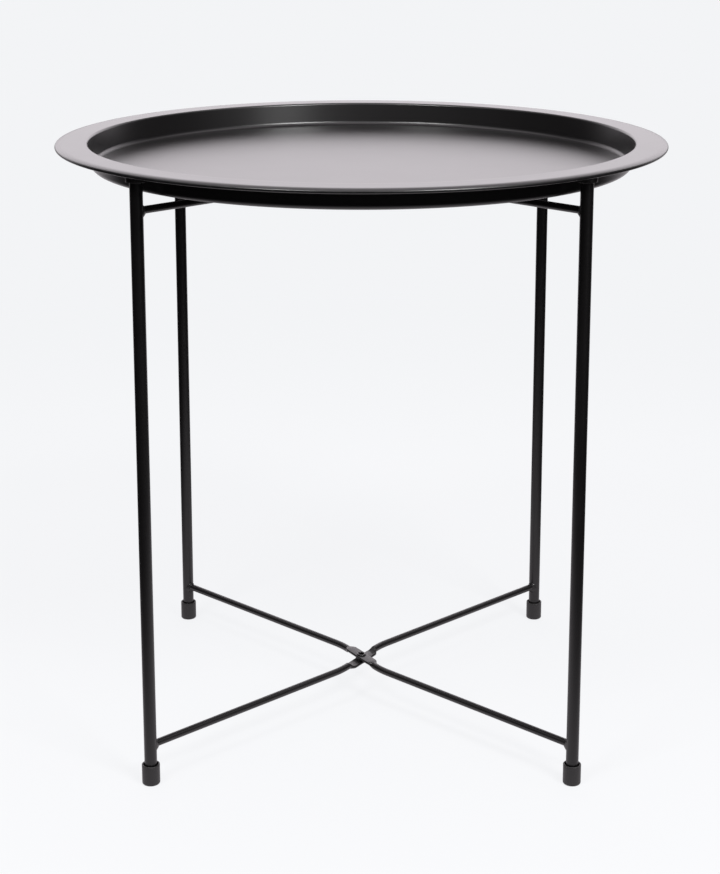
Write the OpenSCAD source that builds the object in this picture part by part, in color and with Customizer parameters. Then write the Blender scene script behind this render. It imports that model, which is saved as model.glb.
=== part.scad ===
// Folding tray table: a loose round tray on two leg frames that cross at a central pivot.
// Origin on the floor at the pivot axis, +Z up, +X to the right, +Y to the back.

/* [Tray] */
// Overall diameter of the tray over its rolled edge
tray_d = 470; // [380:1:600]
// Depth of the well, from the rim's top face to the tray floor
tray_depth = 18.6; // [12:0.1:40]
// Width of the rim, from the rolled edge to the wall of the well
rim_w = 24.8; // [20:0.1:34]
// Thickness of the sheet
sheet_t = 0.8; // [0.5:0.1:1.2]
// Lean of the well's wall away from vertical, in degrees
wall_taper = 10; // [2:1:25]
// Radius inside the well between wall and floor
floor_r = 4; // [2:0.5:7]
// Radius between the rim's top face and the wall
rim_edge_r = 2; // [1.3:0.1:3]
// Radius of the gentle droop that leads into the rolled edge
droop_r = 16; // [8:1:24]
// Angle that the droop turns through, in degrees
droop_angle = 20; // [8:1:26]
// Outer radius of the rolled edge
roll_r = 1.3; // [1.3:0.1:2.2]

/* [Legs] */
// Height of the table, from the floor to the rim's top face
table_h = 462.5; // [380:0.5:620]
// Outer diameter of a leg tube
leg_d = 9.4; // [8:0.1:12]
// Wall of a leg tube
leg_wall = 1.2; // [0.8:0.1:2]

/* [Caps] */
// Diameter of a foot cap
foot_cap_d = 13.4; // [12.4:0.1:18]
// Height of a foot cap
foot_cap_h = 15.6; // [10:0.1:22]
// Diameter of a leg-top cap
top_cap_d = 14.8; // [12.4:0.1:18]
// Height of a leg-top cap
top_cap_h = 7.5; // [6:0.1:14]
// Thickness of a cap's closed end
cap_floor = 2.4; // [1.5:0.1:4]
// Depth of the open lip round the leg at a cap's mouth
lip_depth = 2.2; // [1:0.1:3]
// Width of the open lip round the leg at a cap's mouth
lip_w = 0.9; // [0.5:0.1:1.2]
// Rounding of a cap's closed end
cap_round = 1.4; // [0.5:0.1:2]

/* [Cross rods] */
// Diameter of a cross rod
rod_d = 5.5; // [4.8:0.1:6.5]
// Height of the lower rods' centre line above the floor
lower_rod_z = 30.5; // [25:0.5:80]
// Angle between a rod's slanted middle and its two arms, in degrees
bend_angle = 14; // [10:0.5:16]
// Half length of the fully flattened plate
plate_half = 14.5; // [12:0.5:15.5]
// Length over which the rod changes from round to flat
press_l = 5.5; // [4:0.5:6.5]
// Width of the flattened plate
plate_w = 9.6; // [8.5:0.1:12]
// Thickness of the flattened plate
plate_t = 2; // [1.5:0.1:2.2]
// Leg length of the weld beads
weld_l = 2.6; // [1:0.1:3]
// How far the weld beads sag below the rod's centre line
weld_sag = 0.5; // [0:0.1:0.6]

/* [Rivets] */
// Outer diameter of a rivet's shank
rivet_d = 5.6; // [4.6:0.1:6]
// Wall of the hollow shank
rivet_wall = 0.5; // [0.4:0.1:0.8]
// Diameter of a rivet's rolled head
rivet_head_d = 7.6; // [7:0.1:8.4]
// Height of a rivet's rolled head
rivet_head_h = 1; // [0.9:0.1:1.6]
// Outer diameter of the washer between the plates
washer_d = 9.4; // [8:0.1:12]

/* [Clearances] */
// How far the leg-top caps stand inwards of the middle of the groove under the rim
cap_shift = 0.1; // [0:0.1:1]
// Gap left between the rim's underside and the leg-top caps that carry it
rest_gap = 0.05; // [0.02:0.01:0.2]
// Gap between the upper rivet's head and the tray's underside
tray_gap = 5.8; // [2:0.1:12]
// Gap between the foot caps when the frames lie side by side
fold_gap = 0.4; // [0.2:0.1:3]
// Axial gap between faces that slide on one another at a pivot
slide_gap = 0.1; // [0.05:0.05:0.2]
// Radial clearance of the turning plate on its rivet
turn_clear = 0.05; // [0.02:0.01:0.1]

/* [Hidden] */

$fn = 96;

paint = "#1c1c1e";
plastic = "#161617";
nylon = "#3a3a3c";

// Direction of each leg from the pivot axis, counter-clockwise from +X
back_right = 45;
back_left = 135;
front_left = 225;
front_right = 315;

// Tray section, as radius and height over the rim's top face
tray_r = tray_d / 2;
edge_centre = [tray_r - rim_w + rim_edge_r, -rim_edge_r];
floor_run = ((floor_r + rim_edge_r) * (1 - sin(wall_taper)) + tray_depth * sin(wall_taper))
    / cos(wall_taper);
floor_centre = [edge_centre.x - floor_run, floor_r - tray_depth];
roll_swing = (droop_r - roll_r) * [sin(droop_angle), cos(droop_angle)];
droop_centre = [tray_r - roll_r - roll_swing.x, -droop_r];
roll_centre = droop_centre + roll_swing;
roll_end = -195;

// Legs stand on one circle, so that their top caps clear the well and the rolled edge
leg_r = leg_d / 2;
groove_w = rim_w - sheet_t - 2 * roll_r;
leg_circle_r = tray_r - 2 * roll_r - groove_w / 2 - cap_shift;
leg_bottom = cap_floor;
// The tray rests on the caps' flat tops, or on their rounding where it reaches under the droop
cap_reach = max(0, leg_circle_r + top_cap_d / 2 - cap_round - droop_centre.x);
cap_swing = droop_r - sheet_t - rest_gap - cap_round;
cap_top = table_h - droop_r + cap_round + sqrt(pow(cap_swing, 2) - pow(cap_reach, 2));
leg_top = cap_top - cap_floor;

// Each rod runs off centre, so that the two frames fold side by side
rod_r = rod_d / 2;
arm_offset = (foot_cap_d + fold_gap) / 2;
arm_l = sqrt(pow(leg_circle_r, 2) - pow(arm_offset, 2));
arm_lean = asin(arm_offset / leg_circle_r);
slant_l = arm_offset / sin(bend_angle);
// Each bend starts just past the shoulder, which sets its radius
bend_start = plate_half + press_l + 0.5;
bend_r = (slant_l - bend_start) / tan(bend_angle / 2);
bend_end = slant_l * cos(bend_angle) + bend_r * tan(bend_angle / 2);
section_sides = 20;
shoulder_steps = 5;
bend_steps = 5;
// The swept middle ends in a slightly thinner tongue inside each arm
tongue_step = 0.1;
tongue_gap = 0.2;
tongue_l = 3;
upper_rod_z = table_h - tray_depth - sheet_t - tray_gap - rivet_head_h - rod_r;

rivet_r = rivet_d / 2;
rivet_bore_r = rivet_r - rivet_wall;
washer_t = rod_d - 2 * plate_t - slide_gap;

// Points on an arc round c, from angle a0 to a1
function arc(c, r, a0, a1, steps) =
    [for (i = [0:steps]) let (a = a0 + (a1 - a0) * i / steps) c + r * [cos(a), sin(a)]];

// ---- Tray ----

module tray() {
    upper_face = concat(
        [[0, -tray_depth]],
        arc(floor_centre, floor_r, -90, -wall_taper, 8),
        arc(edge_centre, rim_edge_r, 180 - wall_taper, 90, 8),
        arc(droop_centre, droop_r, 90, 90 - droop_angle, 5),
        arc(roll_centre, roll_r, 90 - droop_angle, roll_end, 24)
    );
    lower_face = concat(
        arc(roll_centre, roll_r - sheet_t, roll_end, 90 - droop_angle, 24),
        arc(droop_centre, droop_r - sheet_t, 90 - droop_angle, 90, 5),
        arc(edge_centre, rim_edge_r - sheet_t, 90, 180 - wall_taper, 8),
        arc(floor_centre, floor_r + sheet_t, -wall_taper, -90, 8),
        [[0, -tray_depth - sheet_t]]
    );
    color(paint)
    translate([0, 0, table_h])
    rotate_extrude($fn = 240)
    polygon(concat(upper_face, lower_face));
}

// ---- Legs and caps ----

// Puts a piece that is drawn about +Z on a leg's axis
module at_leg(direction) {
    rotate([0, 0, direction])
    translate([leg_circle_r, 0, 0])
    children();
}

module leg(direction) {
    color(paint)
    at_leg(direction)
    translate([0, 0, leg_bottom])
    difference() {
        cylinder(d = leg_d, h = leg_top - leg_bottom);
        translate([0, 0, -1]) cylinder(r = leg_r - leg_wall, h = leg_top - leg_bottom + 2);
    }
}

// A cup with its closed, rounded end at z = 0 and its open lip at z = h
module cap(d, h) {
    difference() {
        rotate_extrude()
        polygon(concat(
            [[0, 0]],
            arc([d / 2 - cap_round, cap_round], cap_round, -90, 0, 8),
            [[d / 2, h], [0, h]]
        ));
        translate([0, 0, cap_floor]) cylinder(d = leg_d, h = h);
        translate([0, 0, h - lip_depth]) cylinder(r = leg_r + lip_w, h = lip_depth + 1);
    }
}

module foot_cap(direction) {
    color(plastic)
    at_leg(direction)
    cap(foot_cap_d, foot_cap_h);
}

module top_cap(direction) {
    color(plastic)
    at_leg(direction)
    translate([0, 0, cap_top])
    mirror([0, 0, 1])
    cap(top_cap_d, top_cap_h);
}

// ---- Cross rods ----

// Turns a rod that is drawn along X so that its arms reach the legs; hand is the side it leans to
module aim(direction, hand) {
    rotate([0, 0, direction - hand * arm_lean])
    children();
}

// A place on the rod's centre line: [x, y], heading, section width, section thickness
function shoulder(k, hand) = [
    (plate_half + press_l * k) * [cos(bend_angle), hand * sin(bend_angle)],
    hand * bend_angle,
    plate_w + (rod_d - plate_w) * k,
    plate_t + (rod_d - plate_t) * k * k
];
function bend(turn, hand) = [
    [bend_end - bend_r * sin(turn), hand * (arm_offset - bend_r + bend_r * cos(turn))],
    hand * turn, rod_d, rod_d
];
function tongue(run, hand) =
    [[bend_end + run, hand * arm_offset], 0, rod_d - tongue_step, rod_d - tongue_step];

// Corners of one section, a slot shape that becomes a circle where the rod is round
function section(stop, side) =
    [for (i = [0:section_sides - 1])
        let (
            a = 360 * (i + 0.5) / section_sides,
            across = sign(cos(a)) * (stop[2] - stop[3]) / 2 + cos(a) * stop[3] / 2,
            up = side * (rod_d - stop[3]) / 2 + sin(a) * stop[3] / 2
        )
        [stop[0].x - across * sin(stop[1]), stop[0].y + across * cos(stop[1]), up]];

// Pressed plate, shoulders and bends of a rod, swept along its centre line
module rod_middle(hand, side) {
    half = concat(
        [for (i = [0:shoulder_steps]) shoulder(i / shoulder_steps, hand)],
        [for (i = [0:bend_steps]) bend(bend_angle * (1 - i / bend_steps), hand)],
        [tongue(tongue_gap, hand), tongue(tongue_l, hand)]
    );
    last = len(half) - 1;
    stops = concat(
        [for (i = [0:last]) let (s = half[last - i]) [-s[0], s[1], s[2], s[3]]],
        half
    );
    rings = len(stops);
    n = section_sides;
    polyhedron(
        points = [for (stop = stops) each section(stop, side)],
        faces = concat(
            [[for (j = [0:n - 1]) j]],
            [for (i = [0:rings - 2]) for (j = [0:n - 1])
                let (k = (j + 1) % n) [(i + 1) * n + j, (i + 1) * n + k, i * n + k, i * n + j]],
            [[for (j = [0:n - 1]) rings * n - 1 - j]]
        ),
        convexity = 6
    );
}

// side is 1 for a plate flush with the rod's top and -1 for one flush with its bottom
module cross_rod(direction, hand, side, z, bore_r) {
    color(paint)
    translate([0, 0, z])
    aim(direction, hand)
    difference() {
        union() {
            rod_middle(hand, side);
            for (end = [-1, 1])
                translate([end * (bend_end + tongue_gap), end * hand * arm_offset, 0])
                rotate([0, end * 90, 0])
                cylinder(r = rod_r, h = arm_l - bend_end - tongue_gap);
        }
        cylinder(r = bore_r, h = 3 * rod_d, center = true);
        for (end = [-1, 1])
            translate([end * arm_l, end * hand * arm_offset, 0])
            cylinder(r = leg_r, h = 3 * rod_d, center = true);
    }
}

// The bead round each end of a rod, where it meets the leg; it stays narrower than the leg
module weld_pair(direction, hand, z) {
    translate([0, 0, z])
    aim(direction, hand)
    for (turn = [0, 180])
        rotate([0, 0, turn])
        translate([arm_l, hand * arm_offset, 0])
        difference() {
            intersection() {
                translate([weld_l - leg_r, 0, -weld_sag])
                rotate([0, -90, 0])
                cylinder(r1 = rod_r + weld_l, r2 = rod_r, h = 2 * weld_l);
                cube([3 * leg_d, 1.7 * leg_r, 4 * rod_d], center = true);
            }
            cylinder(r = leg_r, h = 4 * rod_d, center = true);
            rotate([0, -90, 0]) cylinder(r = rod_r, h = 1.5 * leg_d);
        }
}

module weld_beads(direction, hand) {
    color(paint)
    for (z = [lower_rod_z, upper_rod_z])
        weld_pair(direction, hand, z);
}

// ---- Pivots ----

// Hollow rivet with a rolled head at each end; its top head sits on the upper plate
module rivet(z) {
    head_roll_r = (rivet_head_d / 2 - rivet_bore_r) / 2;
    top_seat = rod_r;
    bottom_seat = -rod_r - slide_gap;
    color(paint)
    translate([0, 0, z])
    rotate_extrude() {
        translate([rivet_bore_r, bottom_seat])
        square([rivet_wall, top_seat - bottom_seat]);
        for (seat = [[top_seat, 1], [bottom_seat, -1]])
            intersection() {
                translate([rivet_bore_r + head_roll_r, seat[0] + seat[1] * (rivet_head_h - head_roll_r)])
                circle(r = head_roll_r);
                translate([rivet_bore_r, seat[0] - (seat[1] > 0 ? 0 : rivet_head_h)])
                square([2 * head_roll_r, rivet_head_h]);
            }
    }
}

module washer(z) {
    color(nylon)
    translate([0, 0, z + rod_r - plate_t - washer_t])
    difference() {
        cylinder(d = washer_d, h = washer_t);
        translate([0, 0, -1]) cylinder(r = rivet_r + turn_clear, h = washer_t + 2);
    }
}

tray();

leg(back_left);  // leg_back_left
leg(front_right);  // leg_front_right
leg(front_left);  // leg_front_left
leg(back_right);  // leg_back_right

foot_cap(back_left);  // foot_cap_back_left
foot_cap(front_right);  // foot_cap_front_right
foot_cap(front_left);  // foot_cap_front_left
foot_cap(back_right);  // foot_cap_back_right

top_cap(back_left);  // top_cap_back_left
top_cap(front_right);  // top_cap_front_right
top_cap(front_left);  // top_cap_front_left
top_cap(back_right);  // top_cap_back_right

cross_rod(back_left, -1, 1, lower_rod_z, rivet_r);  // lower_rod_a
cross_rod(back_left, -1, 1, upper_rod_z, rivet_r);  // upper_rod_a
cross_rod(back_right, 1, -1, lower_rod_z, rivet_r + turn_clear);  // lower_rod_b
cross_rod(back_right, 1, -1, upper_rod_z, rivet_r + turn_clear);  // upper_rod_b

rivet(lower_rod_z);  // lower_rivet
rivet(upper_rod_z);  // upper_rivet
washer(lower_rod_z);  // lower_washer
washer(upper_rod_z);  // upper_washer

weld_beads(back_left, -1);  // weld_beads_a
weld_beads(back_right, 1);  // weld_beads_b
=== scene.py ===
"""Folding tray table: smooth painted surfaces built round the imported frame.

Every piece is a surface worked out with numpy in metres, in the frame of the CAD model: a section
turned about an axis, a section carried along a path, or a ring of beads that follows where two
tubes meet. Places and overall sizes come from the boxes of the CAD nodes that the pieces replace.
"""

import logging
import math
from dataclasses import dataclass, field
from enum import Enum

import bpy
import numpy as np
from mathutils import Euler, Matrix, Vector


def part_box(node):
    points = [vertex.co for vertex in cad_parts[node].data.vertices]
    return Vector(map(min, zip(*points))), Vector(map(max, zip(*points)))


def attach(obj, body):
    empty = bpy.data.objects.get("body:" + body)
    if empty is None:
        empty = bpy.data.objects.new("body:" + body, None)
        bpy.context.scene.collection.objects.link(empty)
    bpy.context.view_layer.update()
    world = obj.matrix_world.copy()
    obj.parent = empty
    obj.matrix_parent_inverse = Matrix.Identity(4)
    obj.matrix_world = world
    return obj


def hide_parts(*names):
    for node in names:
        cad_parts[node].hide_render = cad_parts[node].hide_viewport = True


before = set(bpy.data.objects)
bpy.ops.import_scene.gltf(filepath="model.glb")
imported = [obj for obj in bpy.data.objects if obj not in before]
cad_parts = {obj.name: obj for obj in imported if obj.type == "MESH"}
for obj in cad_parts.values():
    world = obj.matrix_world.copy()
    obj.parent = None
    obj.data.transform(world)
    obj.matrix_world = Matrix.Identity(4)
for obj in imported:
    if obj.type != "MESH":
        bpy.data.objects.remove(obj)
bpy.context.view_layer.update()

LOG = logging.getLogger("tray_table")
MM = 0.001
Array = np.ndarray


# ---------------------------------------------------------------- frame


class Corner(Enum):
    """The four legs by the corner they stand at; the value is the ending of the node's name."""

    BACK_LEFT = "back_left"
    FRONT_RIGHT = "front_right"
    FRONT_LEFT = "front_left"
    BACK_RIGHT = "back_right"


class Side(Enum):
    """Which face of a rod its pressed plate is flush with; the value is the sign of that face."""

    TOP = 1
    BOTTOM = -1


@dataclass(frozen=True)
class Box:
    """The box of a CAD node, in metres."""

    low: Array
    high: Array

    @classmethod
    def of(cls, node: str) -> "Box":
        """Reads the box of one CAD node.

        Args:
            node: The node's name.

        Returns:
            Its box at rest.
        """
        low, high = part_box(node)
        return cls(np.array(low), np.array(high))

    @property
    def centre(self) -> Array:
        """The middle of the box."""
        return (self.low + self.high) / 2

    @property
    def size(self) -> Array:
        """The box's three extents."""
        return self.high - self.low


# ---------------------------------------------------------------- surfaces


def arc(centre: tuple[float, float], radius: float, start: float, end: float, steps: int) -> Array:
    """Points on a circle: centre + radius * (cos a, sin a), a running evenly from start to end.

    Args:
        centre: The circle's centre.
        radius: Its radius.
        start: First angle, in degrees.
        end: Last angle, in degrees.
        steps: Number of equal steps between them.

    Returns:
        An array of steps + 1 points.
    """
    a = np.radians(np.linspace(start, end, steps + 1))
    return np.array(centre) + radius * np.stack([np.cos(a), np.sin(a)], axis=1)


def line(start: tuple[float, float], end: tuple[float, float], steps: int) -> Array:
    """Points spaced evenly from start to end, both included.

    Args:
        start: First point.
        end: Last point.
        steps: Number of equal steps.

    Returns:
        An array of steps + 1 points.
    """
    return np.linspace(start, end, steps + 1)


def join_outline(*stretches: Array) -> Array:
    """Joins stretches of an outline and drops each point that repeats the one before it.

    Args:
        stretches: Point arrays in order.

    Returns:
        One point array.
    """
    points = np.concatenate(stretches)
    step = np.linalg.norm(np.diff(points, axis=0), axis=1)
    return points[np.concatenate([[True], step > 1e-7])]


def smoothstep(t: Array) -> Array:
    """Eases 0 to 1: 3t^2 - 2t^3 on t held between 0 and 1."""
    t = np.clip(t, 0.0, 1.0)
    return t * t * (3 - 2 * t)


def grid_faces(rows: int, columns: int, wrap_rows: bool, wrap_columns: bool) -> Array:
    """Quads over a grid of points numbered row by row.

    Each quad joins (i, j), (i, j+1), (i+1, j+1) and (i+1, j), with indices taken round the grid
    where it wraps.

    Args:
        rows: Number of rows.
        columns: Number of points in a row.
        wrap_rows: Whether the last row joins the first.
        wrap_columns: Whether each row closes on itself.

    Returns:
        An array of four indices a face.
    """
    i = np.arange(rows if wrap_rows else rows - 1)[:, None]
    j = np.arange(columns if wrap_columns else columns - 1)[None, :]
    i2, j2 = (i + 1) % rows, (j + 1) % columns
    corners = [i * columns + j, i * columns + j2, i2 * columns + j2, i2 * columns + j]
    return np.stack(np.broadcast_arrays(*corners), axis=-1).reshape(-1, 4)


def make_mesh(
    name: str, points: Array, faces: list, wear: Array, sharp: float,
) -> bpy.types.Object:
    """Puts points and faces into a closed mesh object at the origin, shaded smooth.

    Args:
        name: The piece's name.
        points: Vertex places, one row each.
        faces: Lists of vertex indices.
        wear: How exposed each vertex is to rubbing, 0 to 1.
        sharp: Edges that turn by more than this many degrees stay sharp.

    Returns:
        The new object, linked to the scene.
    """
    mesh = bpy.data.meshes.new(name)
    mesh.from_pydata(points.tolist(), [], faces)
    mesh.validate()
    mesh.polygons.foreach_set("use_smooth", np.ones(len(mesh.polygons), dtype=bool))
    mesh.set_sharp_from_angle(angle=math.radians(sharp))
    attribute = mesh.attributes.new("wear", "FLOAT", "POINT")
    attribute.data.foreach_set("value", wear.astype(np.float32))
    mesh.update()
    face_outwards(mesh)
    piece = bpy.data.objects.new(name, mesh)
    bpy.context.scene.collection.objects.link(piece)
    return piece


def face_outwards(mesh: bpy.types.Mesh) -> None:
    """Flips every face of a closed mesh if the volume that it encloses comes out negative.

    The signed volume is the sum over triangles of a . (b x c) / 6.

    Args:
        mesh: A closed mesh.
    """
    mesh.calc_loop_triangles()
    corners = np.empty(len(mesh.loop_triangles) * 3, dtype=np.int32)
    mesh.loop_triangles.foreach_get("vertices", corners)
    places = np.empty(len(mesh.vertices) * 3)
    mesh.vertices.foreach_get("co", places)
    a, b, c = places.reshape(-1, 3)[corners.reshape(-1, 3)].transpose(1, 0, 2)
    if np.einsum("ij,ij->i", a, np.cross(b, c)).sum() < 0:
        mesh.flip_normals()


def turned(
    name: str, outline: Array, axis: Array, segments: int, wear: Array | None = None,
    sharp: float = 40.0,
) -> bpy.types.Object:
    """Turns an outline about a vertical axis: (r, z) goes to (x + r cos t, y + r sin t, z).

    The outline runs with the material on its left, seen with r to the right and z up. It is
    either a closed loop clear of the axis, or it starts and ends on the axis, where each end
    becomes one pole.

    Args:
        name: The piece's name.
        outline: Points (radius, height) in metres.
        axis: Any point on the axis; only x and y are read.
        segments: Number of steps round the axis.
        wear: Exposure to rubbing at each outline point, or None for not at all.
        sharp: Edges that turn by more than this many degrees stay sharp.

    Returns:
        The new object.
    """
    poled = outline[0, 0] < 1e-7 and outline[-1, 0] < 1e-7
    rings = outline[1:-1] if poled else outline
    worn = np.zeros(len(outline)) if wear is None else wear
    t = np.linspace(0, 2 * np.pi, segments, endpoint=False)
    points = np.stack([
        axis[0] + rings[:, :1] * np.cos(t),
        axis[1] + rings[:, :1] * np.sin(t),
        np.broadcast_to(rings[:, 1:], (len(rings), segments)),
    ], axis=-1).reshape(-1, 3)
    faces = grid_faces(len(rings), segments, not poled, True).tolist()
    levels = np.repeat(worn[1:-1] if poled else worn, segments)
    if poled:
        first, last = len(points), len(points) + 1
        top = [[axis[0], axis[1], outline[0, 1]], [axis[0], axis[1], outline[-1, 1]]]
        points = np.concatenate([points, top])
        levels = np.concatenate([levels, worn[[0, -1]]])
        j = np.arange(segments)
        j2 = (j + 1) % segments
        end = (len(rings) - 1) * segments
        faces += np.stack([np.full(segments, first), j2, j], axis=1).tolist()
        faces += np.stack([np.full(segments, last), end + j, end + j2], axis=1).tolist()
    return make_mesh(name, points, faces, levels, sharp)


def carried(
    name: str, places: Array, headings: Array, sections: Array, wear: Array, sharp: float,
) -> bpy.types.Object:
    """Carries a section along a level path: place + across * (-sin h, cos h, 0) + up * (0, 0, 1).

    Args:
        name: The piece's name.
        places: Centre of each section, one row each.
        headings: Direction of travel at each section, in radians from +X.
        sections: For each place, the section's points (across, up), counter-clockwise as seen
            from behind.
        wear: Exposure to rubbing of every section point.
        sharp: Edges that turn by more than this many degrees stay sharp.

    Returns:
        The new object, closed with a flat face at each end.
    """
    rows, columns = sections.shape[:2]
    side = np.stack([-np.sin(headings), np.cos(headings), np.zeros(rows)], axis=1)
    points = places[:, None, :] + sections[..., :1] * side[:, None, :]
    points[..., 2] += sections[..., 1]
    faces = grid_faces(rows, columns, False, True)[:, ::-1].tolist()
    ring = list(range(columns))
    faces += [ring[::-1], [(rows - 1) * columns + j for j in ring]]
    return make_mesh(name, points.reshape(-1, 3), faces, wear.reshape(-1), sharp)


def swung(x: Array, y: Array, z: Array | float, angle: float) -> Array:
    """Points turned about Z by an angle a: (x cos a - y sin a, x sin a + y cos a, z)."""
    cos, sin = math.cos(angle), math.sin(angle)
    return np.stack([x * cos - y * sin, x * sin + y * cos, np.broadcast_to(z, x.shape)], axis=-1)


# ---------------------------------------------------------------- finishes


class Sockets:
    """Adds nodes to one tree and joins them, so that a material reads as a list of steps."""

    def __init__(self, tree: bpy.types.NodeTree) -> None:
        """Keeps the tree that the nodes go into."""
        self.tree = tree

    def add(self, kind: str, settings: dict | None = None, **inputs: object) -> bpy.types.Node:
        """Adds one node and fills its inputs.

        Args:
            kind: Blender's name of the node type.
            settings: Properties of the node itself.
            inputs: Input name to a value or to an output socket; an underscore stands for a space.

        Returns:
            The new node.
        """
        node = self.tree.nodes.new(kind)
        for key, value in (settings or {}).items():
            setattr(node, key, value)
        for key, value in inputs.items():
            socket = node.inputs[int(key[1:]) if key[1:].isdigit() else key.replace("_", " ")]
            if isinstance(value, bpy.types.NodeSocket):
                self.tree.links.new(value, socket)
            else:
                socket.default_value = value
        return node

    def maths(self, operation: str, a: object, b: object = 0.0) -> bpy.types.NodeSocket:
        """Adds a Math node and returns its output."""
        return self.add("ShaderNodeMath", {"operation": operation}, i0=a, i1=b).outputs[0]

    def noise(self, place: bpy.types.NodeSocket, scale: object, detail: float) -> bpy.types.NodeSocket:
        """Adds a noise field over a place and returns its value, about 0.5 on average."""
        node = self.add("ShaderNodeTexNoise", Vector=place, Scale=scale, Detail=detail)
        return node.outputs["Fac"]

    def spread(self, value: object, low: float, high: float) -> bpy.types.NodeSocket:
        """Maps a value of 0 to 1 evenly onto low to high."""
        return self.add("ShaderNodeMapRange", i0=value, i3=low, i4=high).outputs[0]

    def ease(self, value: object, start: float, end: float, low: float,
             high: float) -> bpy.types.NodeSocket:
        """Eases from low to high as a value goes from start to end."""
        return self.add(
            "ShaderNodeMapRange", {"interpolation_type": "SMOOTHSTEP"},
            i0=value, i1=start, i2=end, i3=low, i4=high,
        ).outputs[0]

    def blend(self, share: object, first: object, second: object) -> bpy.types.NodeSocket:
        """Mixes two colours, the second by its share."""
        settings = {"data_type": "RGBA"}
        return self.add("ShaderNodeMix", settings, Factor=share, i6=first, i7=second).outputs[2]

    def group(self, name: str, **inputs: object) -> bpy.types.Node:
        """Adds one of the shared groups and fills its inputs."""
        return self.add("ShaderNodeGroup", {"node_tree": GROUPS[name]}, **inputs)


def new_group(name: str, inputs: dict[str, float], outputs: tuple[str, ...]) -> tuple:
    """Makes an empty shader node group with a Place input and named number sockets.

    Args:
        name: The group's name.
        inputs: Input name to default value.
        outputs: Output names.

    Returns:
        The group's steps, its input node and its output node.
    """
    group = bpy.data.node_groups.new(name, "ShaderNodeTree")
    group.interface.new_socket("Place", in_out="INPUT", socket_type="NodeSocketVector")
    for key, value in inputs.items():
        socket = group.interface.new_socket(key, in_out="INPUT", socket_type="NodeSocketFloat")
        socket.default_value = value
    for key in outputs:
        group.interface.new_socket(key, in_out="OUTPUT", socket_type="NodeSocketFloat")
    steps = Sockets(group)
    return steps, steps.add("NodeGroupInput"), steps.add("NodeGroupOutput")


def paint_skin_group() -> bpy.types.NodeTree:
    """Builds the skin of sprayed paint: a long ripple, a fine grain and a slow drift of gloss.

    Height is ripple * noise(ripple scale) + grain * noise(grain scale). Drift is slow noise.

    Returns:
        The group.
    """
    steps, given, out = new_group(
        "paint_skin",
        {
            "Ripple Scale": 700.0, "Ripple": 0.5, "Grain Scale": 4000.0, "Grain": 0.5,
            "Drift Scale": 30.0,
        },
        ("Height", "Drift"),
    )
    place = given.outputs["Place"]
    ripple = steps.noise(place, given.outputs["Ripple Scale"], 1.0)
    grain = steps.noise(place, given.outputs["Grain Scale"], 2.0)
    height = steps.maths(
        "ADD",
        steps.maths("MULTIPLY", ripple, given.outputs["Ripple"]),
        steps.maths("MULTIPLY", grain, given.outputs["Grain"]),
    )
    steps.tree.links.new(height, out.inputs["Height"])
    steps.tree.links.new(steps.noise(place, given.outputs["Drift Scale"], 3.0), out.inputs["Drift"])
    return steps.tree


def edge_rub_group() -> bpy.types.NodeTree:
    """Builds the mask of paint rubbed thin: the wear attribute, broken up by two sizes of noise.

    Mask is clamp((wear * noise - threshold) * gain) * amount.

    Returns:
        The group.
    """
    steps, given, out = new_group("edge_rub", {"Scale": 250.0, "Amount": 0.5}, ("Mask",))
    worn = steps.add("ShaderNodeAttribute", {"attribute_name": "wear"}).outputs["Fac"]
    broken = steps.noise(given.outputs["Place"], given.outputs["Scale"], 4.0)
    lifted = steps.maths("SUBTRACT", steps.maths("MULTIPLY", worn, broken), RUB_THRESHOLD)
    clamped = {"operation": "MULTIPLY", "use_clamp": True}
    gained = steps.add("ShaderNodeMath", clamped, i0=lifted, i1=RUB_GAIN)
    mask = steps.maths("MULTIPLY", gained.outputs[0], given.outputs["Amount"])
    steps.tree.links.new(mask, out.inputs["Mask"])
    return steps.tree


def dust_group() -> bpy.types.NodeTree:
    """Builds a mask of faint dust that lies on faces which look up.

    Mask is amount * max(normal z, 0)^4 * noise.

    Returns:
        The group.
    """
    steps, given, out = new_group("dust", {"Scale": 60.0, "Amount": 0.1}, ("Mask",))
    normal = steps.add("ShaderNodeNewGeometry").outputs["Normal"]
    up = steps.add("ShaderNodeSeparateXYZ", Vector=normal).outputs["Z"]
    facing = steps.maths("POWER", steps.maths("MAXIMUM", up, 0.0), 4.0)
    specks = steps.noise(given.outputs["Place"], given.outputs["Scale"], 6.0)
    lying = steps.maths("MULTIPLY", facing, specks)
    steps.tree.links.new(steps.maths("MULTIPLY", lying, given.outputs["Amount"]), out.inputs["Mask"])
    return steps.tree


# Colour at the light end of the slow drift, over the clean colour
DRIFT_LIGHTENING = 1.25
# Change of roughness where the paint is rubbed thin
RUB_POLISH = -0.02
# Level of wear * noise above which paint counts as rubbed, and how sharply it then shows
RUB_THRESHOLD, RUB_GAIN = 0.42, 6.0
DUST_COLOUR = (0.32, 0.31, 0.30)


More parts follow.
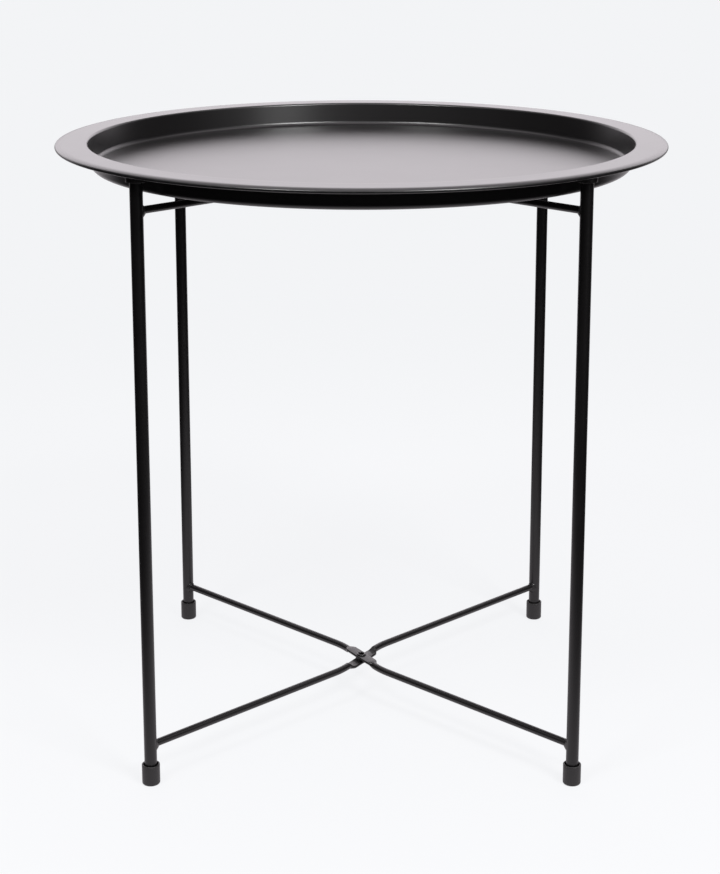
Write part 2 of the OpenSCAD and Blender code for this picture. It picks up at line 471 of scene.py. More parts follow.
@dataclass(frozen=True)
class Finish:
    """One finish: its colours, its gloss and the grain of its skin.

    Attributes:
        name: The material's name.
        slot: The record's material slot that it belongs to; not used.
        colour: Colour of the clean surface, linear.
        rubbed: Colour where it is rubbed thin.
        rough: Lowest and highest roughness.
        level: Specular level.
        ripple: Scale per metre and share of the long ripple.
        grain: Scale per metre and share of the fine grain.
        bump: Depth of the skin in metres.
        rub: How much of the exposed edges is rubbed.
        dust: How much dust lies on level faces.
    """

    name: str
    slot: str
    colour: tuple[float, float, float]
    rubbed: tuple[float, float, float]
    rough: tuple[float, float]
    level: float
    ripple: tuple[float, float]
    grain: tuple[float, float]
    bump: float
    rub: float
    dust: float

    def material(self) -> bpy.types.Material:
        """Builds the finish's material from the shared groups, or returns it if it exists.

        Returns:
            The material.
        """
        found = bpy.data.materials.get(self.name)
        if found is not None:
            return found
        material = bpy.data.materials.new(self.name)
        material.use_nodes = True
        material.node_tree.nodes.clear()
        steps = Sockets(material.node_tree)
        place = steps.add("ShaderNodeTexCoord").outputs["Object"]
        skin = steps.group(
            "paint_skin", Place=place, Ripple_Scale=self.ripple[0], Ripple=self.ripple[1],
            Grain_Scale=self.grain[0], Grain=self.grain[1],
        )
        drift = skin.outputs["Drift"]
        rub = steps.group("edge_rub", Place=place, Amount=self.rub).outputs["Mask"]
        dust = steps.group("dust", Place=place, Amount=self.dust).outputs["Mask"]
        lighter = tuple(c * DRIFT_LIGHTENING for c in self.colour)
        shade = steps.blend(drift, (*self.colour, 1), (*lighter, 1))
        worn = steps.blend(rub, shade, (*self.rubbed, 1))
        dusty = steps.blend(dust, worn, (*DUST_COLOUR, 1))
        gloss = steps.maths(
            "ADD", steps.spread(drift, *self.rough), steps.maths("MULTIPLY", rub, RUB_POLISH))
        bump = steps.add(
            "ShaderNodeBump", Strength=1.0, Distance=self.bump, Height=skin.outputs["Height"])
        shader = steps.add(
            "ShaderNodeBsdfPrincipled", Base_Color=dusty, Roughness=gloss,
            Normal=bump.outputs["Normal"], Specular_IOR_Level=self.level,
        )
        out = steps.add("ShaderNodeOutputMaterial", Surface=shader.outputs["BSDF"])
        out.is_active_output = True
        return material


GROUPS = {"paint_skin": paint_skin_group(), "edge_rub": edge_rub_group(), "dust": dust_group()}

TRAY_PAINT = Finish(
    name="satin_tray_paint", slot="tray_paint", colour=(0.0052, 0.0049, 0.0051),
    rubbed=(0.03, 0.029, 0.029), rough=(0.279, 0.292), level=0.5,
    ripple=(55.0, 1.0), grain=(160.0, 0.08), bump=0.000012, rub=0.2, dust=0.003,
)
FRAME_PAINT = Finish(
    name="satin_frame_paint", slot="frame_paint", colour=(0.0034, 0.0031, 0.0033),
    rubbed=(0.05, 0.048, 0.046), rough=(0.30, 0.37), level=0.5,
    ripple=(1100.0, 0.7), grain=(6000.0, 0.4), bump=0.000012, rub=0.6, dust=0.01,
)
RIVET_PAINT = Finish(
    name="satin_rivet_paint", slot="rivet_paint", colour=(0.004, 0.0038, 0.004),
    rubbed=(0.09, 0.087, 0.084), rough=(0.295, 0.36), level=0.5,
    ripple=(1500.0, 0.7), grain=(7000.0, 0.5), bump=0.000014, rub=0.8, dust=0.01,
)
CAP_PLASTIC = Finish(
    name="moulded_cap_plastic", slot="cap_plastic", colour=(0.0085, 0.0080, 0.0082),
    rubbed=(0.04, 0.04, 0.04), rough=(0.40, 0.52), level=0.5,
    ripple=(2200.0, 0.4), grain=(9000.0, 0.9), bump=0.00002, rub=0.5, dust=0.02,
)
WASHER_NYLON = Finish(
    name="washer_nylon", slot="washer_nylon", colour=(0.012, 0.012, 0.0125),
    rubbed=(0.06, 0.06, 0.06), rough=(0.5, 0.6), level=0.45,
    ripple=(1500.0, 0.4), grain=(8000.0, 0.6), bump=0.000015, rub=0.3, dust=0.0,
)


def dress(piece: bpy.types.Object, finish: Finish, body: str, node: str) -> None:
    """Gives a piece its finish and its body, hides the CAD node that it stands for, and reports it.

    Args:
        piece: The piece.
        finish: Its finish.
        body: The CAD body that it rides on.
        node: The CAD node that it replaces.
    """
    piece.data.materials.clear()
    piece.data.materials.append(finish.material())
    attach(piece, body)
    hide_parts(node)
    LOG.info("%s: %d faces", piece.name, len(piece.data.polygons))


# ---------------------------------------------------------------- tray


@dataclass
class Tray:
    """The loose tray: one sheet pressed into a well, with a flat rim and a rolled edge.

    Attributes:
        rim_width: From the rolled edge to the well's wall.
        sheet: Thickness of the sheet.
        taper: Lean of the wall from vertical, in degrees.
        floor_radius: Inside radius between wall and floor.
        rim_radius: Radius between rim and wall.
        droop_radius: Radius of the droop before the roll.
        droop_angle: Angle of the droop, in degrees.
        roll_radius: Outer radius of the rolled edge.
        roll_end: Angle at which the roll ends, in degrees.
        segments: Steps round the tray.
    """

    rim_width: float = 24.8 * MM
    sheet: float = 0.8 * MM
    taper: float = 10.0
    floor_radius: float = 4.0 * MM
    rim_radius: float = 2.0 * MM
    droop_radius: float = 16.0 * MM
    droop_angle: float = 20.0
    roll_radius: float = 1.3 * MM
    roll_end: float = -195.0
    segments: int = 384
    box: Box = field(default_factory=lambda: Box.of("tray"))

    def outline(self) -> tuple[Array, Array]:
        """Works out the sheet's section, upper face outwards, round the roll and back underneath.

        Floor, fillet arc, straight wall, rim arc, flat rim, droop arc and roll arc follow one
        another with a common tangent; the lower face uses the same centres with each radius
        changed by the sheet's thickness.

        Returns:
            The outline as (radius, height), and the exposure to rubbing at each of its points.
        """
        outer = self.box.size[:2].min() / 2
        top = self.box.high[2]
        depth = self.box.size[2] - self.sheet
        lean = math.radians(self.taper)
        rim = (outer - self.rim_width + self.rim_radius, top - self.rim_radius)
        run = (self.floor_radius + self.rim_radius) * (1 - math.sin(lean)) + depth * math.sin(lean)
        floor = (rim[0] - run / math.cos(lean), top - depth + self.floor_radius)
        swing = self.droop_radius - self.roll_radius
        turn = math.radians(self.droop_angle)
        droop = (outer - self.roll_radius - swing * math.sin(turn), top - self.droop_radius)
        roll = (droop[0] + swing * math.sin(turn), droop[1] + swing * math.cos(turn))
        upright = 90 - self.droop_angle

        def face(grow: float) -> list[Array]:
            """One face of the sheet from the axis out to the end of the roll."""
            low = top - depth - grow
            return [
                line((0.0, low), (floor[0], low), 24),
                arc(floor, self.floor_radius + grow, -90, -self.taper, 16),
                arc(rim, self.rim_radius - grow, 180 - self.taper, 90, 14),
                line((rim[0], top - grow), (droop[0], top - grow), 5),
                arc(droop, self.droop_radius - grow, 90, upright, 10),
                arc(roll, self.roll_radius - grow, upright, self.roll_end, 40),
            ]

        upper, lower = face(0.0), face(self.sheet)
        outline = join_outline(*upper, *[stretch[::-1] for stretch in lower[::-1]])
        nose = np.exp(-(np.hypot(outline[:, 0] - outer, outline[:, 1] - roll[1]) / (1.2 * MM)) ** 2)
        lip = np.exp(-(np.hypot(outline[:, 0] - rim[0], outline[:, 1] - top) / (1.5 * MM)) ** 2)
        return outline, np.maximum(nose, 0.6 * lip)

    def build(self) -> None:
        """Turns the section about the tray's axis and puts the tray on its body."""
        outline, wear = self.outline()
        shell = turned("tray_shell", outline[::-1], np.zeros(3), self.segments, wear[::-1], 60.0)
        dress(shell, TRAY_PAINT, "tray", "tray")


# ---------------------------------------------------------------- legs


@dataclass
class Leg:
    """One leg tube with a cap pushed over each end.

    Attributes:
        corner: The corner that it stands at.
        body: The frame that it belongs to.
        wall: Wall of the tube.
        cap_floor: Thickness of a cap's closed end.
        lip_depth: Depth of the open lip round the tube.
        lip_width: Width of the open lip round the tube.
        end_round: Rounding of a cap's closed end.
        mouth_round: Rounding of a cap's mouth.
        segments: Steps round the leg.
    """

    corner: Corner
    body: str
    wall: float = 1.2 * MM
    cap_floor: float = 2.4 * MM
    lip_depth: float = 2.2 * MM
    lip_width: float = 0.9 * MM
    end_round: float = 1.4 * MM
    mouth_round: float = 0.35 * MM
    segments: int = 96

    def box(self, part: str) -> Box:
        """The box of this leg's tube or of one of its caps."""
        return Box.of(f"{part}_{self.corner.value}")

    def tube(self) -> bpy.types.Object:
        """Turns a thin-walled section with eased ends about the leg's axis.

        Returns:
            The tube.
        """
        box = self.box("leg")
        radius = box.size[:2].max() / 2
        ease = 0.2 * MM
        inner = radius - self.wall
        outline = np.array([
            (inner, box.high[2]), (inner, box.low[2]),
            (radius - ease, box.low[2]), (radius, box.low[2] + ease),
            (radius, box.high[2] - ease), (radius - ease, box.high[2]),
        ])
        rows = np.linspace(box.low[2] + ease, box.high[2] - ease, 40)[1:-1]
        side = np.stack([np.full(len(rows), radius), rows], axis=1)
        outline = np.concatenate([outline[:4], side, outline[4:]])
        return turned(f"leg_tube_{self.corner.value}", outline, box.centre, self.segments)

    def cap(self, part: str, name: str, flipped: bool) -> bpy.types.Object:
        """Turns a cup's section: rounded closed end, side, eased mouth, open lip and bore.

        Args:
            part: Beginning of the CAD node's name.
            name: Beginning of the piece's name.
            flipped: Whether the closed end is uppermost.

        Returns:
            The cap.
        """
        box, tube, edge = self.box(part), self.box("leg"), self.end_round
        radius, height = box.size[:2].max() / 2, box.size[2]
        bore = tube.size[:2].max() / 2
        lip, ease = bore + self.lip_width, self.mouth_round
        ledge = height - self.lip_depth
        outline = join_outline(
            line((0.0, 0.0), (radius - edge, 0.0), 3),
            arc((radius - edge, edge), edge, -90, 0, 10),
            line((radius, edge), (radius, height - ease), 6),
            arc((radius - ease, height - ease), ease, 0, 90, 5),
            arc((lip + ease, height - ease), ease, 90, 180, 5),
            line((lip, height - ease), (lip, ledge), 2),
            line((lip, ledge), (bore, ledge), 2),
            line((bore, ledge), (bore, self.cap_floor), 2),
            line((bore, self.cap_floor), (0.0, self.cap_floor), 2),
        )
        crown, spread = edge * 0.4, 0.9 * MM
        wear = np.exp(-((outline[:, 1] - crown) / spread) ** 2) * (outline[:, 0] > radius - edge)
        base = box.high[2] if flipped else box.low[2]
        outline[:, 1] = base + (-outline[:, 1] if flipped else outline[:, 1])
        return turned(f"{name}_{self.corner.value}", outline, box.centre, self.segments, wear)

    def build(self) -> None:
        """Makes the tube and its two caps and puts them on the frame."""
        corner = self.corner.value
        dress(self.tube(), FRAME_PAINT, self.body, f"leg_{corner}")
        foot = self.cap("foot_cap", "foot_cup", False)
        dress(foot, CAP_PLASTIC, self.body, f"foot_cap_{corner}")
        top = self.cap("top_cap", "top_cup", True)
        dress(top, CAP_PLASTIC, self.body, f"top_cap_{corner}")


# ---------------------------------------------------------------- cross rods


@dataclass(frozen=True)
class Arms:
    """The level line that the arms of one frame's rods lie on, beside the pivot axis.

    Attributes:
        ends: The corners of the frame's two legs, the one its first arm reaches and the other.
        hand: The side that the first arm leans to, 1 for left.
        offset: Distance from the pivot to the line of each arm.
    """

    ends: tuple[Corner, Corner]
    hand: int
    offset: float = 6.9 * MM

    def run(self) -> tuple[float, float]:
        """Works out where the first arm goes, from the places of the two legs.

        With d half the distance between the legs, the arm meets the leg's axis at
        sqrt(d^2 - offset^2) along its line and heads asin(offset / d) off the leg's bearing.

        Returns:
            The way along the line to the leg's axis, and the heading in radians.
        """
        first, second = (Box.of(f"leg_{corner.value}").centre for corner in self.ends)
        circle = np.linalg.norm((first - second)[:2]) / 2
        heading = math.atan2(first[1], first[0]) - self.hand * math.asin(self.offset / circle)
        return math.sqrt(circle**2 - self.offset**2), heading

    def leg_radius(self) -> float:
        """The radius of the frame's legs."""
        return Box.of(f"leg_{self.ends[0].value}").size[0] / 2


@dataclass
class CrossRod:
    """One cross rod: two arms, two gentle bends and a pressed plate round the pivot.

    Attributes:
        node: The CAD node that it replaces.
        body: The frame that it belongs to.
        arms: The line of its arms.
        side: Which face of the rod the plate is flush with.
        bend_angle: Angle between the slanted middle and the arms, in degrees.
        plate_half: Half length of the plate.
        press_length: Length of each pressed shoulder.
        plate_width: Width of the plate.
        plate_thickness: Thickness of the plate.
        hole: Diameter of the rivet's hole.
        sunk: How far each end reaches into the leg's wall.
        columns: Points round a section.
    """

    node: str
    body: str
    arms: Arms
    side: Side
    bend_angle: float = 14.0
    plate_half: float = 14.5 * MM
    press_length: float = 5.5 * MM
    plate_width: float = 9.6 * MM
    plate_thickness: float = 2.0 * MM
    hole: float = 5.68 * MM
    sunk: float = 0.5 * MM
    columns: int = 48

    def path(self, reach: float) -> tuple[Array, Array]:
        """Half of the rod's centre line, from the pivot outwards, in the rod's own axes.

        A straight stretch at the bend angle, an arc that turns it back, and a straight arm at
        the offset. The arc starts just past the shoulder, which sets its radius. Distance is
        measured along the line.

        Args:
            reach: How far the arm runs along the rod's own X.

        Returns:
            Rows of (distance, x, y), and the heading at each row in radians.
        """
        lean = math.radians(self.bend_angle)
        offset = self.arms.offset
        slant = offset / math.sin(lean)
        start = self.plate_half + self.press_length + 0.5 * MM
        tangent = slant - start
        radius = tangent / math.tan(lean / 2)
        straight = np.concatenate([
            np.linspace(0, self.plate_half, 12),
            np.linspace(self.plate_half, self.plate_half + self.press_length, 26)[1:],
            np.array([start]),
        ])
        first = np.stack([straight, straight * math.cos(lean), straight * math.sin(lean)], axis=1)
        turn = np.linspace(lean, 0, 17)[1:]
        end_x = slant * math.cos(lean) + tangent
        second = np.stack([
            start + radius * (lean - turn),
            end_x - radius * np.sin(turn),
            offset - radius * (1 - np.cos(turn)),
        ], axis=1)
        run = np.linspace(end_x, reach, 40)[1:]
        third = np.stack([second[-1, 0] + run - end_x, run, np.full(len(run), offset)], axis=1)
        headings = np.concatenate([np.full(len(first), lean), turn, np.zeros(len(third))])
        return np.concatenate([first, second, third]), headings

    def sections(self, distance: Array, diameter: float) -> tuple[Array, Array]:
        """Sections of the rod at distances from the pivot: a slot shape that becomes a circle.

        Width eases from the plate's to the rod's over the shoulder, and thickness follows more
        slowly at first, which leaves the scooped shoulder of a pressed rod. One face stays on
        the rod's own face.

        Args:
            distance: Distances from the pivot.
            diameter: The rod's diameter.

        Returns:
            The points (across, up) of each section, and the exposure to rubbing of each point.
        """
        k = (distance - self.plate_half) / self.press_length
        belly = 1 + 0.03 * np.cos(np.clip(distance / self.plate_half, 0, 1) * np.pi / 2)
        width = self.plate_width * belly
        width = width + (diameter - width) * smoothstep(k)
        thin = self.plate_thickness
        thick = thin + (diameter - thin) * smoothstep(np.clip(k, 0, 1) ** 1.5)
        t = 2 * np.pi * (np.arange(self.columns) + 0.5) / self.columns
        across = np.sign(np.cos(t)) * (width - thick)[:, None] / 2 + np.cos(t) * thick[:, None] / 2
        up = self.side.value * (diameter - thick)[:, None] / 2 + np.sin(t) * thick[:, None] / 2
        flat = 1 - smoothstep(k)
        worn = flat[:, None] * np.abs(np.cos(t))[None, :] ** 2
        return np.stack([across, up], axis=-1), worn

    def build(self) -> None:
        """Sweeps the rod, drills its plate and puts it on its frame."""
        box = Box.of(self.node)
        diameter = box.size[2]
        reach, aim = self.arms.run()
        inset = self.arms.leg_radius() - self.sunk
        rows, headings = self.path(reach - inset)
        rows = np.concatenate([rows[:0:-1] * np.array([1, -1, -1]), rows])
        headings = np.concatenate([headings[:0:-1], headings]) * self.arms.hand
        places = swung(rows[:, 1], rows[:, 2] * self.arms.hand, box.centre[2], aim)
        sections, worn = self.sections(rows[:, 0], diameter)
        piece = carried(f"{self.node}_bar", places, headings + aim, sections, worn, 35.0)
        drill(piece, Vector((0, 0, box.centre[2])), self.hole / 2, diameter)
        dress(piece, FRAME_PAINT, self.body, self.node)


def drill(piece: bpy.types.Object, place: Vector, radius: float, depth: float) -> None:
    """Cuts an upright round hole through a piece with an exact Boolean, and keeps only the result.

    Args:
        piece: The piece to drill.
        place: A point on the hole's axis, at mid depth.
        radius: The hole's radius.
        depth: Half the length of the drill.
    """
    low, top = place.z - depth, place.z + depth
    outline = np.array([(0.0, low), (radius, low), (radius, top), (0.0, top)])
    bit = turned("drill_bit", outline, np.array(place), 64)
    cut = piece.modifiers.new("hole", "BOOLEAN")
    cut.operation = "DIFFERENCE"
    cut.solver = "EXACT"
    cut.object = bit
    graph = bpy.context.evaluated_depsgraph_get()
    drilled = bpy.data.meshes.new_from_object(piece.evaluated_get(graph))
    piece.modifiers.clear()
    old, piece.data = piece.data, drilled
    bpy.data.meshes.remove(old)
    spent = bit.data
    bpy.data.objects.remove(bit)
    bpy.data.meshes.remove(spent)
    drilled.set_sharp_from_angle(angle=math.radians(35))


# ---------------------------------------------------------------- welds


@dataclass
class WeldBeads:
    """The four weld beads of one frame, where its two rods meet its two legs.

    Attributes:
        node: The CAD node that they replace.
        body: The frame that they belong to.
        arms: The line of the rods' arms.
        rods: The nodes of the frame's two rods.
        leg_size: How far a bead reaches along leg and rod at its thinnest.
        sag: How much further it reaches under the rod.
        swell: How far the bead stands out from a straight bevel.
        ripples: Number of weld ripples round a bead.
        first_seed: Seed of the first bead's unevenness; each later bead adds one.
    """

    node: str
    body: str
    arms: Arms
    rods: tuple[str, str]
    leg_size: float = 1.5 * MM
    sag: float = 1.3 * MM
    swell: float = 0.15 * MM
    ripples: int = 17
    first_seed: int = 11

    def bead(self, rod_radius: float, leg_radius: float, seed: int) -> tuple[Array, Array]:
        """One bead in the joint's axes: rod along -X from a leg on Z, the leg's axis at x = 0.

        Round the rod by t and across the bead by s, a point lies at radius
        rod + reach * (1 - s) plus a swell of sin(pi s), and at the leg's surface
        x = sqrt(leg^2 - y^2) plus reach * s. The back of the ring runs inside the metal.

        Args:
            rod_radius: The rod's radius.
            leg_radius: The leg's radius.
            seed: Seed of this bead's unevenness.

        Returns:
            Points of a closed ring grid, and their exposure to rubbing.
        """
        around, across = 72, 9
        chance = np.random.default_rng(seed)
        phase = chance.uniform(0, 2 * np.pi, 3)
        t = np.linspace(0, 2 * np.pi, around, endpoint=False)[:, None]
        s = np.linspace(0, 1, across)[None, :]
        uneven = 1 + 0.06 * np.sin(3 * t + phase[0]) + 0.05 * np.sin(5 * t + phase[1])
        ripple = 0.05 * np.sin(self.ripples * t + phase[2] + 2.0 * s)
        under = smoothstep((0.5 - np.sin(t)) / 1.5)
        reach = (self.leg_size * uneven + self.sag * under) * (0.9 + ripple)
        bulge = (self.swell * uneven + self.leg_size * ripple * 0.4) * np.sin(np.pi * s)
        radius = rod_radius + reach * (1 - s) ** 1.2 + bulge
        radius = np.where(s > 0.99, rod_radius - 0.15 * MM, radius)
        height, side = radius * np.sin(t), radius * np.cos(t)
        surface = np.sqrt(np.maximum(leg_radius**2 - side**2, 0))
        x = surface + reach * s**1.2 + bulge * 0.7
        x = np.where(s < 0.01, surface - 0.25 * MM, x)
        front = np.stack(np.broadcast_arrays(x, side, height), axis=-1)
        inner = rod_radius - 0.3 * MM
        back_y, back_z = inner * np.cos(t[:, 0]), inner * np.sin(t[:, 0])
        back_x = np.sqrt(leg_radius**2 - back_y**2) - 0.3 * MM
        back = np.stack([back_x, back_y, back_z], axis=-1)[:, None, :]
        points = np.concatenate([front, back], axis=1)
        crest = np.broadcast_to(np.sin(np.pi * s), x.shape)
        worn = np.concatenate([crest, np.zeros((around, 1))], axis=1)
        return points, worn * 0.5

    def build(self) -> None:
        """Sets a bead at each end of both rods, all in one piece, and puts it on the frame."""
        reach, aim = self.arms.run()
        shift = self.arms.hand * self.arms.offset
        points, wear, faces = [], [], []
        for rod in self.rods:
            box = Box.of(rod)
            for turn in (0.0, math.pi):
                seed = self.first_seed + len(points)
                ring, worn = self.bead(box.size[2] / 2, self.arms.leg_radius(), seed)
                x, y, z = np.moveaxis(ring, -1, 0)
                placed = swung(reach - x, y + shift, z + box.centre[2], aim + turn).reshape(-1, 3)
                start = sum(len(p) for p in points)
                faces.append(grid_faces(*ring.shape[:2], True, True) + start)
                points.append(placed)
                wear.append(worn.reshape(-1))
        piece = make_mesh(
            f"{self.node}_rings", np.concatenate(points), np.concatenate(faces).tolist(),
            np.concatenate(wear), 75.0)
        dress(piece, FRAME_PAINT, self.body, self.node)


# ---------------------------------------------------------------- pivots


@dataclass
class Pivot:
    """A hollow rivet with rolled heads, and the washer between the two plates it joins.

    Attributes:
        level: Which of the two pivots, lower or upper.
        body: The frame that holds the rivet.
        shank: Diameter of the shank.
        wall: Wall of the shank.
        head_height: Height of a rolled head.
        flare: How far the bore opens at each mouth.
        washer_bore: Diameter of the washer's hole.
    """

    level: str
    body: str
    shank: float = 5.6 * MM
    wall: float = 0.5 * MM
    head_height: float = 1.0 * MM
    flare: float = 0.25 * MM
    washer_bore: float = 5.7 * MM

    def rivet(self) -> bpy.types.Object:
        """Turns the rivet's section: bore, flared mouth, rolled head and shank, at both ends.

        A head is three quarters of an oval from the mouth of the bore, over its crest and down
        to the plate.

        Returns:
            The rivet.
        """
        box = Box.of(f"{self.level}_rivet")
        outer, top, low = box.size[:2].max() / 2, box.high[2], box.low[2]
        bore = self.shank / 2 - self.wall
        across = (outer - bore) / 2
        crest = bore + across
        tall = self.head_height * 0.62
        t = np.radians(np.linspace(180, -12, 26))
        head = np.stack([crest + across * np.cos(t), top - tall + tall * np.sin(t)], axis=1)
        seat = top - self.head_height
        upper = join_outline(
            np.array([(bore, (top + low) / 2), (bore, top - tall - self.flare)]),
            head,
            np.array([(outer - 0.1 * MM, seat), (self.shank / 2, seat)]),
        )
        lower = upper[::-1].copy()
        lower[:, 1] = top + low - lower[:, 1]
        outline = join_outline(upper, lower)[:-1]
        end = np.abs(outline[:, 1] - (top + low) / 2) - (top - low) / 2
        wear = np.exp(-end ** 2 / (0.3 * MM) ** 2)
        return turned(f"{self.level}_rivet_hollow", outline, box.centre, 72, wear)

    def washer(self) -> bpy.types.Object:
        """Turns the washer's section, a slim oblong with eased corners.

        Returns:
            The washer.
        """
        box = Box.of(f"{self.level}_washer")
        outer, bore = box.size[:2].max() / 2, self.washer_bore / 2
        low, top, ease = box.low[2], box.high[2], 0.12 * MM
        outline = join_outline(
            arc((outer - ease, low + ease), ease, -90, 0, 4),
            arc((outer - ease, top - ease), ease, 0, 90, 4),
            arc((bore + ease, top - ease), ease, 90, 180, 4),
            arc((bore + ease, low + ease), ease, 180, 270, 4),
        )
        return turned(f"{self.level}_washer_disc", outline, box.centre, 64)

    def build(self) -> None:
        """Makes the rivet and the washer and puts both on the frame that holds the rivet."""
        dress(self.rivet(), RIVET_PAINT, self.body, f"{self.level}_rivet")
        dress(self.washer(), WASHER_NYLON, self.body, f"{self.level}_washer")


# ---------------------------------------------------------------- studio


@dataclass
class Studio:
    """A pale floor and backdrop, the surround that the paint reflects, the lights and the camera.

    Attributes:
        tone: Linear colour of floor and backdrop.
        floor_radius: Radius of the floor that takes shadows.
        backdrop_radius: Radius of the shell that only the camera sees.
        shade: How much of the floor's brightness comes from the lights.
        sheet: Thickness of the floor and of the patch below it.
        clear: Radius round the table inside which the floor takes its full share of light.
        bounce: Brightness of the light that the floor throws back near the table.
        bounce_reach: Radii at which that light begins to fade and ends.
        bounce_drop: How far below the floor the patch that gives it lies.
        sheen: Colour of the surround.
        eye: The camera's place.
        pitch: How far the camera looks down, in degrees.
        focal: Focal length over the picture's long side.
        shift: Upward shift of the picture over its long side.
        aim: The point that the soft lights look at.
    """

    tone: tuple[float, float, float] = (0.896, 0.905, 0.922)
    floor_radius: float = 1.6
    backdrop_radius: float = 14.0
    shade: float = 0.08
    sheet: float = 0.002
    clear: float = 0.30
    bounce: float = 0.9
    bounce_reach: tuple[float, float] = (0.20, 0.62)
    bounce_drop: float = 0.004
    sheen: tuple[float, float, float] = (1.0, 0.945, 0.99)
    eye: tuple[float, float, float] = (-0.0011, -1.441, 0.672)
    pitch: float = 12.35
    focal: float = 1875 / 874
    shift: float = -0.19
    aim: tuple[float, float, float] = (0.0, 0.0, 0.4)

    @staticmethod
    def stage_piece(name: str, outline: Array, segments: int, unseen: tuple[str, ...]) -> Sockets:
        """Turns a stage piece about the pivot axis and gives it an empty material.

        Args:
            name: The piece's and the material's name.
            outline: Its section, from axis to axis.
            segments: Steps round it.
            unseen: The kinds of ray that don't meet it.

        Returns:
            The steps of its material.
        """
        piece = turned(name, outline, np.zeros(3), segments, None, 30.0)
        material = bpy.data.materials.new(name)
        material.use_nodes = True
        material.node_tree.nodes.clear()
        piece.data.materials.append(material)
        for ray in unseen:
            setattr(piece, f"visible_{ray}", False)
        return Sockets(material.node_tree)

    def disc(self, radius: float, top: float) -> Array:
        """The section of a thin disc, from the axis out along its top and back underneath."""
        low = top - self.sheet
        return np.array([(0.0, top), (radius, top), (radius, low), (0.0, low)])

    def floor(self) -> None:
        """Makes the floor: mostly its own glow, with a share of real light that fades outwards.

        The camera sees this floor; the table is lit by the bounce below it instead.
        """
        radius = self.floor_radius
        steps = self.stage_piece(
            "studio_floor", self.disc(radius, 0.0), 96, ("glossy", "diffuse", "shadow"))
        fade = steps.ease(self.distance(steps), self.clear, radius * 0.9, 0.0, 1.0)
        glow = steps.add("ShaderNodeEmission", Color=(*self.tone, 1), Strength=1.0)
        dim = steps.add("ShaderNodeEmission", Color=(*self.tone, 1), Strength=1.0 - self.shade)
        lit = steps.add("ShaderNodeBsdfDiffuse", Color=(self.shade, self.shade, self.shade, 1))
        real = steps.add("ShaderNodeAddShader", i0=dim.outputs[0], i1=lit.outputs[0])
        mix = steps.add("ShaderNodeMixShader", Fac=fade, i1=real.outputs[0], i2=glow.outputs[0])
        steps.add("ShaderNodeOutputMaterial", Surface=mix.outputs[0])

    def floor_bounce(self) -> None:
        """Makes the patch of floor that lights the table from below, bright near it and fading out."""
        near, far = self.bounce_reach
        steps = self.stage_piece(
            "studio_bounce", self.disc(far, -self.bounce_drop), 64, ("camera", "shadow"))
        strength = steps.ease(self.distance(steps), near, far, self.bounce, 0.0)
        glow = steps.add("ShaderNodeEmission", Color=(*self.sheen, 1), Strength=strength)
        steps.add("ShaderNodeOutputMaterial", Surface=glow.outputs[0])

    @staticmethod
    def distance(steps: Sockets) -> bpy.types.NodeSocket:
        """Adds the distance from the origin, measured in the piece's own coordinates."""
        place = steps.add("ShaderNodeTexCoord").outputs["Object"]
        return steps.add("ShaderNodeVectorMath", {"operation": "LENGTH"}, i0=place).outputs["Value"]

    def backdrop(self) -> None:
        """Makes a shell round everything that only the camera sees, as pale as the floor."""
        t = np.radians(np.linspace(-90, 90, 25))
        outline = self.backdrop_radius * np.stack([np.cos(t), np.sin(t)], axis=1)
        outline[[0, -1], 0] = 0.0
        steps = self.stage_piece(
            "studio_backdrop", outline, 48,
            ("diffuse", "glossy", "shadow", "transmission", "volume_scatter"))
        glow = steps.add("ShaderNodeEmission", Color=(*self.tone, 1), Strength=1.0)
        steps.add("ShaderNodeOutputMaterial", Surface=glow.outputs[0])

    def surround(self) -> None:
        """Lights the scene from a soft surround that depends on direction only.

        Strength is above * (back * rise * fall + front * right + over + fill) + far + dark. Above
        cuts off at the horizon and back eases in behind the table, where rise and fall leave a
        band over the horizon. Front eases in ahead of the table, right dims its left half, over
        is the pale ceiling, and far is the distant floor straight behind.
        """
        world = bpy.data.worlds.new("studio_surround")
        bpy.context.scene.world = world
        world.use_nodes = True
        world.node_tree.nodes.clear()
        steps = Sockets(world.node_tree)
        towards = steps.add("ShaderNodeTexCoord").outputs["Generated"]
        x, y, z = steps.add("ShaderNodeSeparateXYZ", Vector=towards).outputs
        maths, ease = steps.maths, steps.ease
        fill, dark = 0.03, 0.012
        band = maths("MULTIPLY", ease(z, 0.0, 0.16, 0.6, 2.1), ease(z, 0.3, 0.6, 1.0, 0.3))
        back = maths("MULTIPLY", ease(y, 0.5, 0.92, 0.0, 1.0), band)
        front = maths("MULTIPLY", ease(y, 0.0, -0.5, 0.0, 0.2), ease(x, -0.6, 0.2, 0.1, 1.0))
        over = maths("ADD", ease(z, 0.55, 0.92, 0.0, 1.3), fill)
        sides = maths("ADD", maths("ADD", back, front), over)
        above = maths("MULTIPLY", sides, ease(z, -0.03, 0.03, 0.0, 1.0))
        far = maths("MULTIPLY", ease(y, 0.5, 0.9, 0.0, 0.9), ease(z, -0.04, -0.16, 0.0, 1.0))
        strength = maths("ADD", maths("ADD", above, far), dark)
        sky = steps.add("ShaderNodeBackground", Color=(*self.sheen, 1), Strength=strength)
        steps.add("ShaderNodeOutputWorld", Surface=sky.outputs[0])

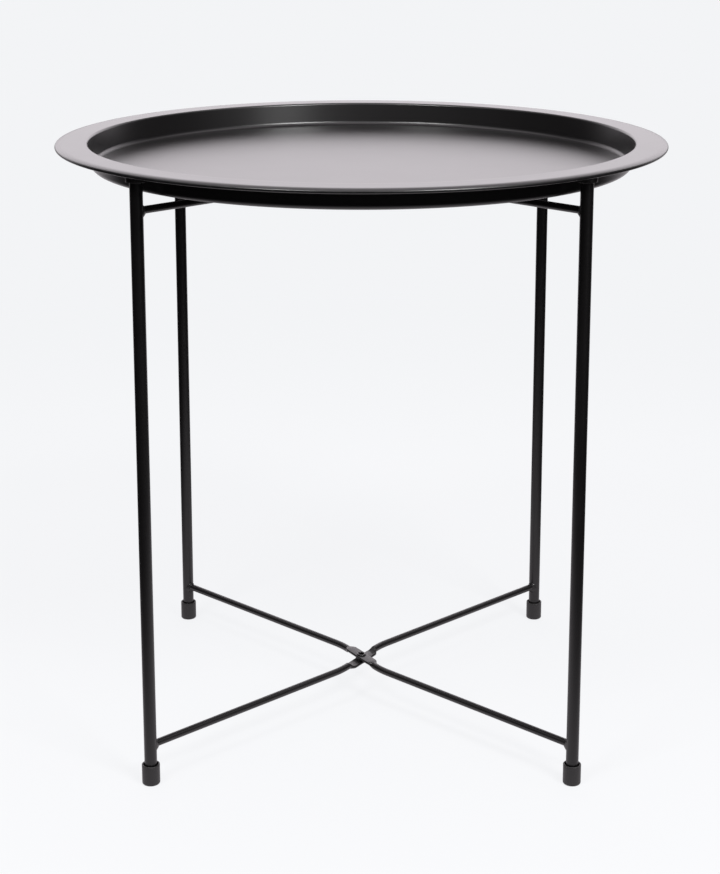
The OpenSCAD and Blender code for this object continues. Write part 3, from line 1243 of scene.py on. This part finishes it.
    def softbox(self, name: str, place: tuple, size: tuple, radiance: float) -> None:
        """Hangs one soft light that looks at the table's upper half.

        Args:
            name: Its name.
            place: Its centre.
            size: Its width and height.
            radiance: How bright its face is; power is pi * area * radiance.
        """
        light = bpy.data.lights.new(name, "AREA")
        light.shape = "RECTANGLE"
        light.size, light.size_y = size
        light.energy = math.pi * size[0] * size[1] * radiance
        lamp = bpy.data.objects.new(name, light)
        lamp.location = place
        aim = Vector(self.aim) - Vector(place)
        lamp.rotation_euler = aim.to_track_quat("-Z", "Y").to_euler()
        lamp.visible_camera = False
        bpy.context.scene.collection.objects.link(lamp)

    def camera(self) -> None:
        """Sets the camera at its place, with a long lens and a small shift."""
        data = bpy.data.cameras.new("camera")
        data.sensor_width = 36.0
        data.lens = self.focal * data.sensor_width
        data.shift_y = self.shift
        eye = bpy.data.objects.new("camera", data)
        eye.location = self.eye
        eye.rotation_euler = Euler((math.radians(90 - self.pitch), 0, 0))
        bpy.context.scene.collection.objects.link(eye)
        bpy.context.scene.camera = eye

    def build(self) -> None:
        """Sets up floor, backdrop, surround, lights, camera and plain tone mapping."""
        self.floor()
        self.floor_bounce()
        self.backdrop()
        self.surround()
        self.softbox("softbox_front_right", (1.40, -1.79, 1.05), (0.9, 0.9), 1.6)
        self.softbox("softbox_high_right", (1.1, -1.45, 2.2), (0.7, 0.7), 36.0)
        self.softbox("softbox_high_left", (-0.95, -1.25, 2.3), (0.6, 0.6), 26.0)
        self.camera()
        bpy.context.scene.view_settings.view_transform = "Standard"
        bpy.context.scene.view_settings.look = "None"


# ---------------------------------------------------------------- table


def main() -> None:
    """Builds the studio and every piece of the table, in order."""
    logging.basicConfig(level=logging.INFO, format="%(name)s: %(message)s")
    Studio().build()
    Tray().build()
    frames = {
        "frame_a": (Arms((Corner.BACK_LEFT, Corner.FRONT_RIGHT), -1), Side.TOP),
        "frame_b": (Arms((Corner.BACK_RIGHT, Corner.FRONT_LEFT), 1), Side.BOTTOM),
    }
    for body, (arms, side) in frames.items():
        for corner in arms.ends:
            Leg(corner, body).build()
        rods = tuple(f"{level}_rod_{body[-1]}" for level in ("lower", "upper"))
        for node in rods:
            CrossRod(node, body, arms, side).build()
        WeldBeads(f"weld_beads_{body[-1]}", body, arms, rods).build()
    for level in ("lower", "upper"):
        Pivot(level, "frame_a").build()


if __name__ == "__main__":
    main()
